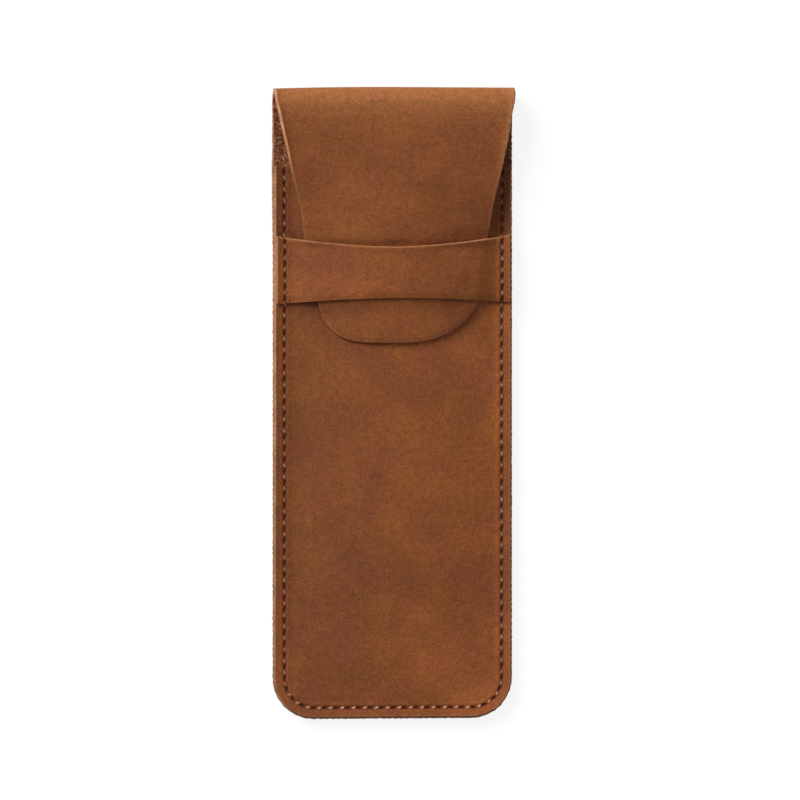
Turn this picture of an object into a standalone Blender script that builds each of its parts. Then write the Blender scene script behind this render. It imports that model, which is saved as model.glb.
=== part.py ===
"""A leather pencil case that lies on its back, with its flap tucked under the strap.

Lengths are in metres. The case lies along Y with its fold at the +Y end, its
width along X, and its front up along +Z.
"""

import math

import bmesh
import bpy

# Sizes of the whole case
case_width = 0.0600
case_length = 0.1600
corner_radius = 0.0105
leather_thickness = 0.0013
fit_gap = 0.0003
slope_allowance = 0.0001

# Bend at the top end, measured to the outer skin of the leather
bend_radius = 0.00415
bend_hinge_angles = (math.radians(45.0), math.radians(135.0))

# Dome of the front panel
mouth_from_top = 0.0201
crown_height = 0.0056
dome_side_inset = 0.0034
dome_end_inset = 0.0034
dome_end_length = 0.0340
crown_full_from_top = 0.0700
dome_side_power = 1.25
dome_mouth_power = 4.0

# Flap, with its half width as a share of the half width of the case
flap_length = 0.0647
tongue_length = 0.0100
tongue_half_width_share = 0.687
tongue_power = 2.3
side_lift_end_from_top = 0.0350
flap_from_top_shares = (0.000, 0.036, 0.100, 0.164, 0.309, 0.403, 0.481, 0.587, 0.846)
flap_half_width_shares = (1.000, 1.000, 0.978, 0.957, 0.893, 0.847, 0.807, 0.773, 0.687)

# Strap that crosses the front, narrower in its middle than at its ends
strap_end_inset = 0.0005
strap_top_from_top = 0.0405
strap_bottom_from_top = 0.0533
strap_top_flare = 0.0030
strap_bottom_flare = 0.0013
strap_flare_power = 1.6
strap_flap_clearance = 0.0003
strap_seam_margin = 0.0004

# Seam down both sides and across the bottom
seam_inset = 0.0026
seam_corner_radius = 0.0080
needle_thread_radius = 0.00030
bobbin_thread_radius = 0.00022
bobbin_thread_floor = 0.00005
seam_start_inset = 0.0011
strap_ramp_length = 0.0016

# How finely the sheets are divided, and how far cutters run past them
trim_margin = 0.0015
cutter_height = 0.0500
side_columns = 16
corner_steps = 10
bend_steps = 8
tongue_steps = 20
thread_sides = 2
smooth_angle = math.radians(40.0)

half_width = case_width / 2
dome_half_width = half_width - dome_side_inset
tongue_half_width = half_width * tongue_half_width_share
top_y = case_length / 2
bottom_y = -top_y
bend_centre_y = top_y - bend_radius
mouth_y = top_y - mouth_from_top
flange_top = 2 * leather_thickness + fit_gap
layer_rise = leather_thickness + fit_gap + slope_allowance
bend_crown = 2 * bend_radius - flange_top - layer_rise
crown_full_y = top_y - crown_full_from_top
side_lift_end_y = top_y - side_lift_end_from_top
gap_angle = fit_gap / bend_radius


def smooth_step(share):
    share = min(1.0, max(0.0, share))
    return share * share * (3.0 - 2.0 * share)


def spread(start, end, steps):
    return [start + (end - start) * step / steps for step in range(steps + 1)]


def interpolate(value, stops, results):
    """The result between two stops, along a curve with no corner at the stops."""
    if value <= stops[0]:
        return results[0]
    if value >= stops[-1]:
        return results[-1]
    index = max(i for i in range(len(stops) - 1) if stops[i] <= value)
    slopes = [
        (results[i + 1] - results[i]) / (stops[i + 1] - stops[i])
        for i in range(len(stops) - 1)
    ]
    joined = [slopes[0]]
    joined += [(slopes[i] + slopes[i + 1]) / 2 for i in range(len(slopes) - 1)]
    joined += [slopes[-1]]
    step = stops[index + 1] - stops[index]
    t = (value - stops[index]) / step
    return (
        (2 * t**3 - 3 * t**2 + 1) * results[index]
        + (t**3 - 2 * t**2 + t) * step * joined[index]
        + (3 * t**2 - 2 * t**3) * results[index + 1]
        + (t**3 - t**2) * step * joined[index + 1]
    )


def side_share(x):
    """Height of the dome across the width, as a share of its crown."""
    u = min(1.0, abs(x) / dome_half_width)
    return (1.0 - u * u) ** dome_side_power


def crown_at(y):
    """Height of the crown above the flange at this place along the case."""
    past = max(0.0, y - crown_full_y) / (bend_centre_y - crown_full_y)
    near_mouth = crown_height + (bend_crown - crown_height) * past**dome_mouth_power
    end_y = bottom_y + dome_end_inset
    to_end = max(0.0, end_y + dome_end_length - y) / dome_end_length
    return near_mouth * max(0.0, 1.0 - min(1.0, to_end) ** 2)


def dome_top(x, y):
    return flange_top + crown_at(y) * side_share(x)


def flap_top(x, y):
    """Outer skin of the flap, level across at the bend and domed at the strap."""
    lift = smooth_step((y - side_lift_end_y) / (bend_centre_y - side_lift_end_y))
    side_lift = lift * bend_crown * (1.0 - side_share(x))
    return dome_top(x, y) + layer_rise + side_lift


def strap_top(x, y):
    """Outer skin of the strap, which steps down to the flange beside the flap."""
    over_flap = dome_top(x, y) + 2 * layer_rise
    on_flange = flange_top + leather_thickness + fit_gap
    drop = smooth_step((abs(x) - strap_hug_x) / (strap_flat_x - strap_hug_x))
    return over_flap + (on_flange - over_flap) * drop


def bend_point(angle):
    """Place on the outer skin of the bend, with angle 0 where it leaves the back."""
    y = bend_centre_y + bend_radius * math.sin(angle)
    z = bend_radius - bend_radius * math.cos(angle)
    return y, z


def flap_half_width(y):
    share = (top_y - y) / flap_length
    return half_width * interpolate(share, flap_from_top_shares, flap_half_width_shares)


def strap_edges(x):
    """Top and bottom edge of the strap at this place across the case."""
    flare = (abs(x) / half_width) ** strap_flare_power
    upper = top_y - strap_top_from_top + strap_top_flare * flare
    lower = top_y - strap_bottom_from_top - strap_bottom_flare * flare
    return upper, lower


strap_hug_x = flap_half_width(strap_edges(half_width)[0]) + strap_flap_clearance
strap_flat_x = half_width - seam_inset - strap_seam_margin


def new_material(name, colour, roughness):
    material = bpy.data.materials.new(name)
    material.use_nodes = True
    shader = material.node_tree.nodes["Principled BSDF"]
    shader.inputs["Base Color"].default_value = (*colour, 1.0)
    shader.inputs["Roughness"].default_value = roughness
    material.diffuse_color = (*colour, 1.0)
    return material


def new_object(name, data, collection, origin=(0.0, 0.0, 0.0)):
    item = bpy.data.objects.new(name, data)
    item.location = origin
    collection.objects.link(item)
    return item


def finish_mesh(mesh, material):
    mesh.materials.append(material)
    mesh.shade_smooth()
    mesh.set_sharp_from_angle(angle=smooth_angle)


def leather_sheet(name, columns, rows, place, side, material, origin=(0.0, 0.0, 0.0)):
    """A sheet of leather whose outer skin goes through place(column, row).

    side is 1.0 where the thickness lies along the normal of the grid, and -1.0
    where it lies the other way.
    """
    mesh = bpy.data.meshes.new(name)
    grid = bmesh.new()
    across = len(columns) - 1
    along = len(rows) - 1
    bmesh.ops.create_grid(grid, x_segments=across, y_segments=along, size=half_width)
    for index, vertex in enumerate(grid.verts):
        row, column = divmod(index, len(columns))
        point = place(columns[column], rows[row])
        vertex.co = [point[i] - origin[i] for i in range(3)]
    grid.to_mesh(mesh)
    grid.free()
    finish_mesh(mesh, material)
    item = new_object(name, mesh, case_collection, origin)
    solidify = item.modifiers.new("leather thickness", "SOLIDIFY")
    solidify.thickness = leather_thickness
    solidify.offset = side
    solidify.use_even_offset = True
    return item


def outline_cutter(name, outline):
    """An upright prism with this outline, tall enough to pass through the case."""
    mesh = bpy.data.meshes.new(name)
    points = [(x, y, 0.0) for x, y in outline]
    mesh.from_pydata(points, [], [list(range(len(points)))])
    item = new_object(name, mesh, cutter_collection)
    solidify = item.modifiers.new("cutter height", "SOLIDIFY")
    solidify.thickness = cutter_height
    solidify.offset = 0.0
    return item


def curve_object(name, points, radius, collection, material=None):
    """A tube with closed ends that follows these points."""
    data = bpy.data.curves.new(name, "CURVE")
    data.dimensions = "3D"
    data.bevel_depth = radius
    data.bevel_resolution = thread_sides
    data.use_fill_caps = True
    spline = data.splines.new("POLY")
    spline.points.add(len(points) - 1)
    for point, place in zip(spline.points, points):
        point.co = (*place, 1.0)
    if material:
        data.materials.append(material)
    return new_object(name, data, collection)


def tube_cutter(name, points, radius):
    """The same kind of tube as a mesh, to press a groove with."""
    guide = curve_object(name + " guide", points, radius, cutter_collection)
    mesh = bpy.data.meshes.new_from_object(guide)
    bpy.data.objects.remove(guide)
    return new_object(name, mesh, cutter_collection)


def boolean(item, cutter, operation):
    modifier = item.modifiers.new(cutter.name, "BOOLEAN")
    modifier.operation = operation
    modifier.solver = "EXACT"
    modifier.object = cutter


def panel_outline(end_y):
    """Outline of the body, square at end_y and rounded at the bottom corners."""
    outline = [(half_width, end_y), (-half_width, end_y)]
    for side, start in ((-1, 180.0), (1, 270.0)):
        centre_x = side * (half_width - corner_radius)
        centre_y = bottom_y + corner_radius
        for angle in spread(start, start + 90.0, corner_steps):
            turn = math.radians(angle)
            x = centre_x + corner_radius * math.cos(turn)
            y = centre_y + corner_radius * math.sin(turn)
            outline.append((x, y))
    return outline[::-1]


def flap_outline(end_y):
    """Outline of the flap, from its tapering sides to the rounded tongue."""
    tip_y = top_y - flap_length
    tongue_y = tip_y + tongue_length
    right = [(half_width, end_y)]
    for y in spread(top_y, tongue_y, tongue_steps):
        right.append((flap_half_width(y), y))
    for angle in spread(0.0, 90.0, tongue_steps)[1:]:
        turn = math.radians(angle)
        x = tongue_half_width * math.cos(turn) ** (2.0 / tongue_power)
        y = tongue_y - tongue_length * math.sin(turn) ** (2.0 / tongue_power)
        right.append((x, y))
    right[-1] = (0.0, tip_y)
    left = [(-x, y) for x, y in right[:-1]]
    return left + right[::-1]


def strap_outline():
    reach = half_width - strap_end_inset
    stations = spread(-reach, reach, 2 * side_columns)
    lower = [(x, strap_edges(x)[1]) for x in stations]
    upper = [(x, strap_edges(x)[0]) for x in reversed(stations)]
    return lower + upper


def seam_plan(start_y):
    """The seam seen from the front, from the top left down and round to the right."""
    side_x = half_width - seam_inset
    row_y = bottom_y + seam_inset
    plan = [(-side_x, start_y)]
    strap_upper, strap_lower = strap_edges(side_x)
    for y in (
        strap_upper + strap_ramp_length,
        strap_upper,
        strap_lower,
        strap_lower - strap_ramp_length,
    ):
        plan.append((-side_x, y))
    for angle in spread(180.0, 270.0, corner_steps):
        turn = math.radians(angle)
        x = -side_x + seam_corner_radius + seam_corner_radius * math.cos(turn)
        y = row_y + seam_corner_radius + seam_corner_radius * math.sin(turn)
        plan.append((x, y))
    return plan + [(-x, y) for x, y in reversed(plan)]


def needle_path(start_y):
    """The thread on the front, which climbs over the ends of the strap."""
    side_x = half_width - seam_inset
    strap_upper, strap_lower = strap_edges(side_x)
    climb = leather_thickness + fit_gap
    path = []
    for x, y in seam_plan(start_y):
        on_strap = strap_lower <= y <= strap_upper
        path.append((x, y, flange_top + (climb if on_strap else 0.0)))
    return path


def bobbin_path(start_y):
    """The thread on the back, sunk so that the leather rests on the table."""
    z = bobbin_thread_floor + bobbin_thread_radius
    return [(x, y, z) for x, y in seam_plan(start_y)]


for item in list(bpy.data.objects):
    bpy.data.objects.remove(item)
case_collection = bpy.data.collections.new("leather pencil case")
cutter_collection = bpy.data.collections.new("cutters")
bpy.context.scene.collection.children.link(case_collection)
bpy.context.scene.collection.children.link(cutter_collection)

brown = (0.230, 0.068, 0.023)
dark_brown = (0.170, 0.052, 0.020)
tan = (0.330, 0.160, 0.095)

wide = half_width + trim_margin
wide_columns = spread(-wide, wide, 2 * side_columns)
panel_columns = spread(-wide, wide, 2)
bend_columns = spread(-half_width, half_width, 2)
lower_hinge, upper_hinge = bend_hinge_angles
lower_origin = (0.0, *bend_point(lower_hinge))
upper_origin = (0.0, *bend_point(upper_hinge))

# Back panel, flat and then turned up as the first eighth of the bend
back_rows = [("flat", bottom_y - trim_margin), ("flat", 0.0), ("bend", 0.0)]
lower_end = lower_hinge - gap_angle / 2
back_rows += [("bend", angle) for angle in spread(0.0, lower_end, bend_steps)[1:]]


def back_place(x, row):
    kind, value = row
    if kind == "flat":
        return x, value, 0.0
    return (x, *bend_point(value))


back_panel = leather_sheet(
    "back_panel",
    panel_columns,
    back_rows,
    back_place,
    1.0,
    new_material("back leather", brown, 0.6),
)

# Strip of the same leather that turns round the top end
fold_start = lower_hinge + gap_angle / 2
fold_end = upper_hinge - gap_angle / 2
fold_rows = spread(fold_start, fold_end, 2 * bend_steps)
flap_fold = leather_sheet(
    "flap_fold",
    bend_columns,
    fold_rows,
    lambda x, angle: (x, *bend_point(angle)),
    1.0,
    new_material("fold leather", brown, 0.55),
    lower_origin,
)

# Flap, from the last eighth of the bend to the tongue
upper_start = upper_hinge + gap_angle / 2
flap_rows = [("bend", angle) for angle in spread(upper_start, math.pi, bend_steps)]
flap_end_y = top_y - flap_length - trim_margin
flap_rows += [("flap", y) for y in spread(bend_centre_y, flap_end_y, side_columns)[1:]]


def flap_place(x, row):
    kind, value = row
    if kind == "bend":
        return (x, *bend_point(value))
    return x, value, flap_top(x, value)


flap = leather_sheet(
    "flap",
    wide_columns,
    flap_rows,
    flap_place,
    1.0,
    new_material("flap leather", brown, 0.6),
    upper_origin,
)

# Front panel, domed between its flanges and open at the mouth
front_rows = spread(bottom_y - trim_margin, mouth_y, 2 * side_columns)
front_panel = leather_sheet(
    "front_panel",
    wide_columns,
    front_rows,
    lambda x, y: (x, y, dome_top(x, y)),
    -1.0,
    new_material("front leather", brown, 0.6),
)

# Strap, a band that is sewn into the side seams and holds the tongue
hug_columns = spread(-strap_hug_x, strap_hug_x, 2 * side_columns)
step_columns = spread(strap_hug_x, strap_flat_x, bend_steps)[1:]
outer_columns = step_columns + [half_width, wide]
strap_columns = [-x for x in reversed(outer_columns)] + hug_columns + outer_columns
strap_low_y = strap_edges(half_width)[1] - trim_margin
strap_high_y = strap_edges(half_width)[0] + trim_margin
strap = leather_sheet(
    "strap",
    strap_columns,
    spread(strap_low_y, strap_high_y, 4),
    lambda x, y: (x, y, strap_top(x, y)),
    -1.0,
    new_material("strap leather", dark_brown, 0.6),
)

# Threads of the seam
needle_start = mouth_y - seam_start_inset
needle_thread = curve_object(
    "needle_thread",
    needle_path(needle_start),
    needle_thread_radius,
    case_collection,
    new_material("needle thread", tan, 0.8),
)
bobbin_thread = curve_object(
    "bobbin_thread",
    bobbin_path(needle_start),
    bobbin_thread_radius,
    case_collection,
    new_material("bobbin thread", tan, 0.8),
)

# Cuts: the outlines of the panels and the pressed groove of the seam
back_outline = outline_cutter("back outline", panel_outline(top_y + trim_margin))
front_outline = outline_cutter("front outline", panel_outline(top_y))
flap_cutter = outline_cutter("flap outline", flap_outline(top_y + trim_margin))
strap_cutter = outline_cutter("strap outline", strap_outline())
needle_groove = tube_cutter(
    "needle groove",
    needle_path(mouth_y + trim_margin),
    needle_thread_radius + fit_gap,
)
bobbin_groove = tube_cutter(
    "bobbin groove",
    bobbin_path(needle_start + 2 * fit_gap),
    bobbin_thread_radius + fit_gap,
)
boolean(back_panel, back_outline, "INTERSECT")
boolean(back_panel, bobbin_groove, "DIFFERENCE")
boolean(front_panel, front_outline, "INTERSECT")
boolean(front_panel, needle_groove, "DIFFERENCE")
boolean(flap, flap_cutter, "INTERSECT")
boolean(strap, strap_cutter, "INTERSECT")
boolean(strap, needle_groove, "DIFFERENCE")
for item in cutter_collection.objects:
    item.hide_render = True
    item.display_type = "WIRE"
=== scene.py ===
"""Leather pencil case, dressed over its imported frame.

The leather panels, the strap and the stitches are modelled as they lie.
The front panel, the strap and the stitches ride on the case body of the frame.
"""

import math

import bmesh
import bpy
import numpy as np
from mathutils import Matrix, Vector


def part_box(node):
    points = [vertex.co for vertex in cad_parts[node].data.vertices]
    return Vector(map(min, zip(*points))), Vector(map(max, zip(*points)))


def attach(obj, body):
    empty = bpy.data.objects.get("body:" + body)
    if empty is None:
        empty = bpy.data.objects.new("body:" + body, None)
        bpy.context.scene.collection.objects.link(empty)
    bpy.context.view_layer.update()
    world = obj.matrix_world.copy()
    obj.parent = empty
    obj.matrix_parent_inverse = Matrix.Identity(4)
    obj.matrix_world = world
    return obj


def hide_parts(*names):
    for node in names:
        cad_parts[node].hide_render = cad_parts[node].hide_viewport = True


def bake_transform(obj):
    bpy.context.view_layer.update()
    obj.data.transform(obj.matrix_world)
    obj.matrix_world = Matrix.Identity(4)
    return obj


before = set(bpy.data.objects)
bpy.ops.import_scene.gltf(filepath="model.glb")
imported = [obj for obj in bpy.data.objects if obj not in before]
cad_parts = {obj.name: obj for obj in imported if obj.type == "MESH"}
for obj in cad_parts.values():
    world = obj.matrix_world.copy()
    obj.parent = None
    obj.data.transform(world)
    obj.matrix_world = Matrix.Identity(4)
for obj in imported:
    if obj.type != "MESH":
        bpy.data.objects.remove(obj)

bl_info = {
    "name": "Leather Pencil Case",
    "version": (1, 0, 0),
    "blender": (4, 5, 0),
    "location": "3D View > Sidebar > Pencil Case",
    "description": "Builds a stitched leather pencil case with its flap under a strap",
    "category": "Object",
}

MM = 0.001
RIGHT_ANGLE = math.pi / 2
TINY = 1e-9
JOIN_MARGIN = 0.01 * MM
GRAIN, CUT, FLESH = 0, 1, 2

# Flap, as shares of its length and of the half width of the case
FLAP_FROM_TOP_SHARES = (0.000, 0.036, 0.100, 0.164, 0.309, 0.403, 0.481, 0.587, 0.846)
FLAP_WIDTH_SHARES = (1.000, 0.995, 0.970, 0.949, 0.886, 0.840, 0.800, 0.767, 0.681)

# Each side of the flap: the rounded corner of its tongue, and the bow of its cut edge
LEFT_CORNER = {"reach": 19.5 * MM, "rise": 10.0 * MM, "across": 4.6, "down": 1.35}
LEFT_BOW = {"bow": -0.49 * MM, "bow_start": 2.0 * MM, "bow_length": 15.0 * MM}
RIGHT_CORNER = {"reach": 22.0 * MM, "rise": 13.0 * MM, "across": 2.6, "down": 1.50}
RIGHT_BOW = {"bow": 0.25 * MM, "bow_start": 8.0 * MM, "bow_length": 26.0 * MM}
FLAP_CURL = 0.42 * MM
FLAP_BEVEL = 0.30 * MM

# Strap, an hourglass band
STRAP_SKEW = 0.3 * MM
STRAP_FLARE_POWER = 1.75
STRAP_TOP_FLARE, STRAP_BOTTOM_FLARE = 3.0 * MM, 1.3 * MM
STRAP_CURL, STRAP_BEVEL = 0.22 * MM, 0.50 * MM
STRAP_HIDE_OFFSET = 310.0 * MM

# Seam: a pressed groove with long holes, between a strong and a faint ridge
GROOVE_DEPTH, GROOVE_WIDTH = 0.20 * MM, 0.45 * MM
HOLE_DEPTH, HOLE_WIDTH, HOLE_LENGTH = 0.34 * MM, 0.36 * MM, 0.66 * MM
RIDGE_HEIGHT, RIDGE_INSET, RIDGE_WIDTH = 0.17 * MM, 0.80 * MM, 0.42 * MM
OUTER_HEIGHT, OUTER_INSET, OUTER_WIDTH = 0.10 * MM, 0.78 * MM, 0.40 * MM

# Stitches, and the few backtack stitches beside both ends of the row
STITCH_SIDES, STITCH_STEPS = 12, 14
STITCH_ARCH, STITCH_SINK, STITCH_LEAN = 0.62 * MM, 0.46 * MM, 0.24 * MM
FRONT_ROW_SINK, BACK_ROW_SINK = 0.20 * MM, 0.50 * MM
BACKTACK_COUNT, BACKTACK_SHIFT, BACKTACK_BESIDE = 3, 0.12, 0.26 * MM

# How finely the leather is divided
POINTS_PER_STITCH, BEND_ROWS = 6, 25
FLAP_COLUMNS, TONGUE_ROWS, FLAP_ROW_STEP = 96, 40, 0.6 * MM
STRAP_STATIONS, STRAP_ROWS = 220, 40
BAND_WIDTH = 4.2 * MM
BAND_STEPS = (0.0, 0.5, 0.9, 1.2, 1.45, 1.6, 1.75, 1.95, 2.3, 2.8, 3.3, 3.75, 4.08)

# Cut edge: share of the thickness and bulge of each row of its wall
CUT_WALL = ((0.07, 0.45), (0.20, 0.80), (0.38, 1.0), (0.60, 0.95), (0.82, 0.62))
CUT_BULGE, CUT_FRAY, CUT_RIPPLE = 0.14 * MM, 0.045 * MM, 0.05 * MM

# What the materials read where a piece has nothing of its own to say
PLAIN_MARKS = {"tone": 1.0, "edge_tone": 1.0, "seam_gap": 50.0 * MM, "seam_run": 0.0, "bend": 0.0}

FRAME_BOXES = [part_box(node) for node in ("back_panel", "front_panel", "flap", "flap_fold")]


def frame_span(axis):
    """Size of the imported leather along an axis."""
    return max(high[axis] for _, high in FRAME_BOXES) - min(low[axis] for low, _ in FRAME_BOXES)


def length(name, text, default):
    return bpy.props.FloatProperty(
        name=name, description=text, default=default, unit="LENGTH", precision=5
    )


def colour(name, text, default):
    return bpy.props.FloatVectorProperty(
        name=name, description=text, default=default, subtype="COLOR", min=0.0, max=1.0
    )


class PencilCaseSizes(bpy.types.PropertyGroup):
    """Sizes of the case and of its seam"""

    case_width: length("Case width", "Across the worn edges", frame_span(0) + 1.1 * MM)
    case_length: length("Case length", "From the bottom to the bend", frame_span(1))
    corner_radius: length("Corner radius", "At the two bottom corners", 10.5 * MM)
    leather_thickness: length("Leather thickness", "Of every panel", 1.3 * MM)
    layer_gap: length("Layer gap", "Between two panels", 0.3 * MM)
    layer_rise: length("Layer rise", "From one layer to the next", 1.7 * MM)
    bend_radius: length("Bend radius", "Outer skin at the top end", 4.15 * MM)
    mouth_from_top: length("Mouth from top", "Edge of the front panel", 20.1 * MM)
    crown_height: length("Crown height", "Of the dome over the seam", 5.6 * MM)
    flap_length: length("Flap length", "From the top to the tip", 64.7 * MM)
    tongue_length: length("Tongue length", "Of its rounded end", 10.0 * MM)
    strap_top: length("Strap top", "From the top, at the middle", 40.65 * MM)
    strap_bottom: length("Strap bottom", "From the top, at the middle", 53.55 * MM)
    seam_inset: length("Seam inset", "From the cut edge", 2.85 * MM)
    stitch_pitch: length("Stitch pitch", "From hole to hole", 2.9 * MM)
    thread_radius: length("Thread radius", "Of the sewing thread", 0.34 * MM)


class PencilCaseColours(bpy.types.PropertyGroup):
    """Colours of the leather and the thread"""

    grain: colour("Grain", "Middle tone of the outer side", (0.212, 0.0635, 0.0178))
    grain_dark: colour("Dark patches", "Where oil has sunk in", (0.172, 0.0512, 0.0166))
    grain_light: colour("Light patches", "Where oil has moved", (0.246, 0.0745, 0.0200))
    pull_up: colour("Pull-up", "Where the leather bends", (0.385, 0.142, 0.0430))
    cut_edge: colour("Cut edge", "Bare fibre of the cut", (0.520, 0.265, 0.150))
    cut_shade: colour("Cut edge, dark", "Between its fibres", (0.290, 0.125, 0.062))
    flesh_dark: colour("Flesh, dark", "Between the fibres inside", (0.095, 0.030, 0.012))
    flesh_light: colour("Flesh, light", "Raised fibres inside", (0.560, 0.270, 0.150))
    # Painted shade inside the stitch holes and where the thread sinks into them.
    hole: colour("Stitch hole", "Inside the stitch holes", (0.085, 0.015, 0.004))
    thread: colour("Thread", "Twisted sewing thread", (0.500, 0.262, 0.170))
    floor: colour("Floor", "Plain pale floor", (0.900, 0.900, 0.900))


def smooth_step(share):
    share = np.clip(share, 0.0, 1.0)
    return share * share * (3.0 - 2.0 * share)


def ease(gone, length):
    """0 before a start and 1 past this length from it, smooth between."""
    return smooth_step(gone / length)


def near(distance, reach):
    """1 at an edge, falling evenly to 0 at this reach from it."""
    return np.clip(1.0 - distance / reach, 0.0, 1.0)


def bell(value, width):
    return np.exp(-((value / width) ** 2))


def ripple(x, y, height, length, seed):
    """Gentle unevenness up to this height, made of a few crossing waves."""
    waves, golden_turn = 7, 2.399
    total = np.zeros_like(x + y)
    for wave in range(waves):
        turn = golden_turn * wave + seed
        stretch = (1.0 + 0.37 * wave) / length
        across = x * math.cos(turn) + y * math.sin(turn)
        total += np.sin(across * stretch * math.tau + 1.7 * wave * seed + seed)
    return height * total / waves


def curve_through(value, stops, results):
    """The result between two stops, along a curve with no corner at the stops."""
    stops, results = np.array(stops), np.array(results)
    slopes = np.diff(results) / np.diff(stops)
    slopes = np.concatenate([slopes[:1], (slopes[:-1] + slopes[1:]) / 2, slopes[-1:]])
    value = np.clip(value, stops[0], stops[-1])
    low = np.minimum(np.searchsorted(stops, value, side="right"), len(stops) - 1) - 1
    high = low + 1
    step = stops[high] - stops[low]
    t = (value - stops[low]) / step
    leaving = (2 * t**3 - 3 * t**2 + 1) * results[low] + (t**3 - 2 * t**2 + t) * step * slopes[low]
    return leaving + (3 * t**2 - 2 * t**3) * results[high] + (t**3 - t**2) * step * slopes[high]


class CaseShape:
    """Works out where the leather lies from the sizes in the sidebar."""

    def __init__(self, sizes):
        self.half_width = sizes.case_width / 2
        self.top_y = sizes.case_length / 2
        self.bottom_y = -self.top_y
        self.corner = sizes.corner_radius
        self.corner_x = self.half_width - self.corner
        self.corner_y = self.bottom_y + self.corner
        self.thickness = sizes.leather_thickness
        self.rise = sizes.layer_rise
        self.bend = sizes.bend_radius
        self.bend_y = self.top_y - self.bend
        self.mouth_y = self.top_y - sizes.mouth_from_top
        self.crown = sizes.crown_height
        self.flange_top = 2 * self.thickness + sizes.layer_gap
        self.strap_rise = self.thickness + 0.05 * MM
        self.bend_crown = 2 * self.bend - self.flange_top - self.rise
        self.flap_length = sizes.flap_length
        self.tip_y = self.top_y - self.flap_length
        self.tongue = sizes.tongue_length
        self.strap_top_y = self.top_y - sizes.strap_top
        self.strap_bottom_y = self.top_y - sizes.strap_bottom
        self.inset = sizes.seam_inset
        self.seam_radius = self.corner - self.inset
        self.side_run = self.mouth_y - self.corner_y
        self.corner_run = self.seam_radius * RIGHT_ANGLE
        self.bottom_run = 2 * self.corner_x
        self.seam_length = 2 * (self.side_run + self.corner_run) + self.bottom_run
        self.stitches = round(self.seam_length / sizes.stitch_pitch)
        self.pitch = self.seam_length / self.stitches
        self.step = self.pitch / POINTS_PER_STITCH
        self.thread = sizes.thread_radius

    def left_share(self, x):
        """0 at the middle and to its right, and 1 at the left side."""
        return np.clip(-x / self.half_width, 0.0, 1.0)

    def side_share(self, x):
        """Height of the dome across the case, as a share of its crown."""
        dome_half = self.half_width - 4.6 * MM
        aside = np.minimum(1.0, np.abs(x) / dome_half)
        return (1.0 - aside * aside) ** 1.25

    def pressed(self, y):
        """0 above the strap and 1 from its top edge down, where it presses the layers."""
        edge_length = 2.4 * MM
        return ease(self.strap_top_y + edge_length - y, edge_length)

    def crown_at(self, y):
        """Height of the dome along the middle: pressed by the strap and slack below it."""
        full_y = self.top_y - 70.0 * MM
        past = np.maximum(0.0, y - full_y) / (self.bend_y - full_y)
        below = 1.0 - near(self.strap_bottom_y - 0.2 * MM - y, reach=10.0 * MM) ** 2
        slack = ease(14.0 * MM - y, length=30.0 * MM)
        rest = 1.0 - 0.10 * self.pressed(y) - 0.14 * below - 0.04 * slack
        crown = self.crown * rest + (self.bend_crown - self.crown) * past**4
        end_y = self.bottom_y + 3.4 * MM
        return crown * (1.0 - near(y - end_y, reach=34.0 * MM) ** 2)

    def dome_top(self, x, y):
        return self.flange_top + self.crown_at(y) * self.side_share(x)

    def rise_at(self, y):
        """Rise of the next layer, less where the strap presses the layers together."""
        return self.rise - 0.32 * MM * self.pressed(y)

    def flap_top(self, x, y):
        """The sides of the flap stand up above the strap, more at the right."""
        right = x > 0.0
        lift_y = np.where(right, self.strap_top_y + 1.0 * MM, self.top_y - 38.0 * MM)
        share = np.clip((y - lift_y) / (self.bend_y - lift_y), 0.0, 1.0)
        lift = np.sin(share * RIGHT_ANGLE) ** np.where(right, 0.5, 1.0)
        lift = lift * smooth_step(share / 0.12)
        side_lift = lift * self.bend_crown * (1.0 - self.side_share(x))
        return self.dome_top(x, y) + self.rise_at(y) + side_lift

    def flap_half(self, y):
        share = (self.top_y - y) / self.flap_length
        return self.half_width * curve_through(share, FLAP_FROM_TOP_SHARES, FLAP_WIDTH_SHARES)

    def strap_top(self, x, y):
        """The strap hugs the flap, and falls to the flange on either side of it."""
        over_flap = self.dome_top(x, y) + 2 * self.rise_at(y)
        on_flange = self.flange_top + self.strap_rise
        hug = self.flap_half(y) - 1.0 * MM
        flat = self.half_width - self.inset + 0.4 * MM
        share = np.clip((np.abs(x) - hug) / (flat - hug), 0.0, 1.0)
        fall = 0.8 * smooth_step(share) + 0.2 * share
        return over_flap + (on_flange - over_flap) * fall

    def strap_edges(self, x, skew=STRAP_SKEW):
        """Top and bottom edge of the strap, further apart at its ends."""
        flare = (np.abs(x) / self.half_width) ** STRAP_FLARE_POWER
        up = skew * x / self.half_width
        upper = self.strap_top_y + STRAP_TOP_FLARE * flare + up
        return upper, self.strap_bottom_y - STRAP_BOTTOM_FLARE * flare + up

    def strap_painted_shadow(self, x, y):
        """Painted shadow of the strap: darker just below its bottom edge, more to the left, and
        just above its top edge on the left half.
        """
        aside = x / self.half_width
        upper, lower = self.strap_edges(x, skew=0.0)
        below = np.clip(0.17 - 0.26 * aside, 0.0, 0.32) * smooth_step((aside + 0.90) / 0.22)
        under_strap_shade = 1.0 - below * bell(lower - 1.9 * MM - y, width=2.1 * MM)
        above = ease(upper + 4.5 * MM - y, length=4.5 * MM) * (y > upper - 1.0 * MM)
        return under_strap_shade * (1.0 - 0.22 * above * smooth_step(-aside / 0.5))

    def flap_painted_shadow(self, x, y):
        """Painted shadow of the flap between the strap and the mouth, deeper to the right; beside
        the left seam it is painted lighter instead.
        """
        in_flap_shadow = ease(y - self.strap_top_y, length=6.0 * MM)
        right = ease(x, length=self.half_width)
        left = ease(self.seam_gap(x, y), length=1.2 * MM) * (x < 0.0)
        return 1.0 - (0.14 + 0.22 * right - 0.26 * left) * in_flap_shadow

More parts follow.
